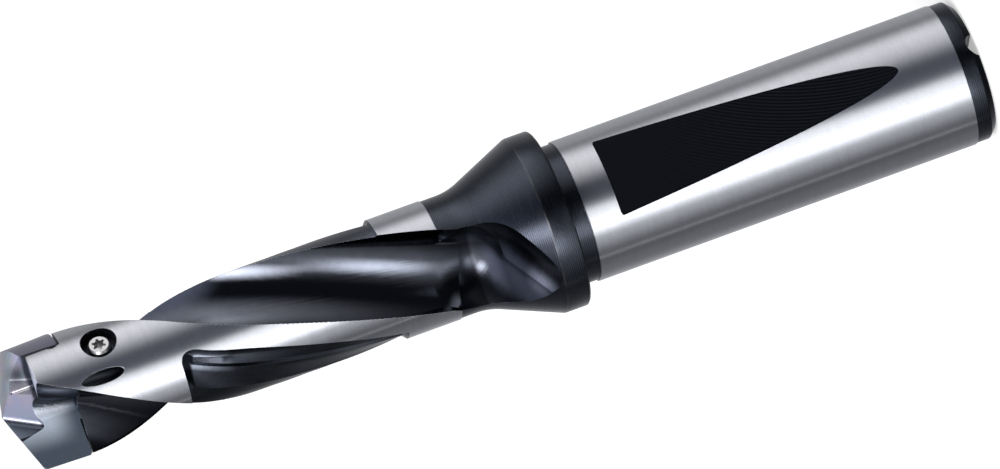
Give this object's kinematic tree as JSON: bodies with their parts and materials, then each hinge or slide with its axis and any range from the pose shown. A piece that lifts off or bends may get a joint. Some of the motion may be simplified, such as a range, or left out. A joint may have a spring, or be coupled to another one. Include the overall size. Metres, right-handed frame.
{
  "type": "replaceable tip drill",
  "caption": "Short drill with a cylindrical flatted shank, flange and cone, helical flutes and a replaceable carbide tip held between jaws by a side screw.",
  "frame": {"origin": "on the drill's axis, at the centre of the shank's end face", "axes": "+Z along the drill's axis, from the shank's end to the cutting point; -Y is the side that the picture looks at, and +X is the picture's upper side of the drill"},
  "size_m": [0.02, 0.02, 0.1126],
  "materials": {
    "body_steel": "ground bright on the lands and shank, dark and satin in the flutes, cone and flange",
    "tip_carbide": "violet-grey hard coating with a faint iridescence",
    "screw_steel": "satin"
  },
  "bodies": {
    "root": {"drill_body": "body_steel", "cutting_tip": "tip_carbide", "clamp_screw": "screw_steel"}
  },
  "joints": []
}
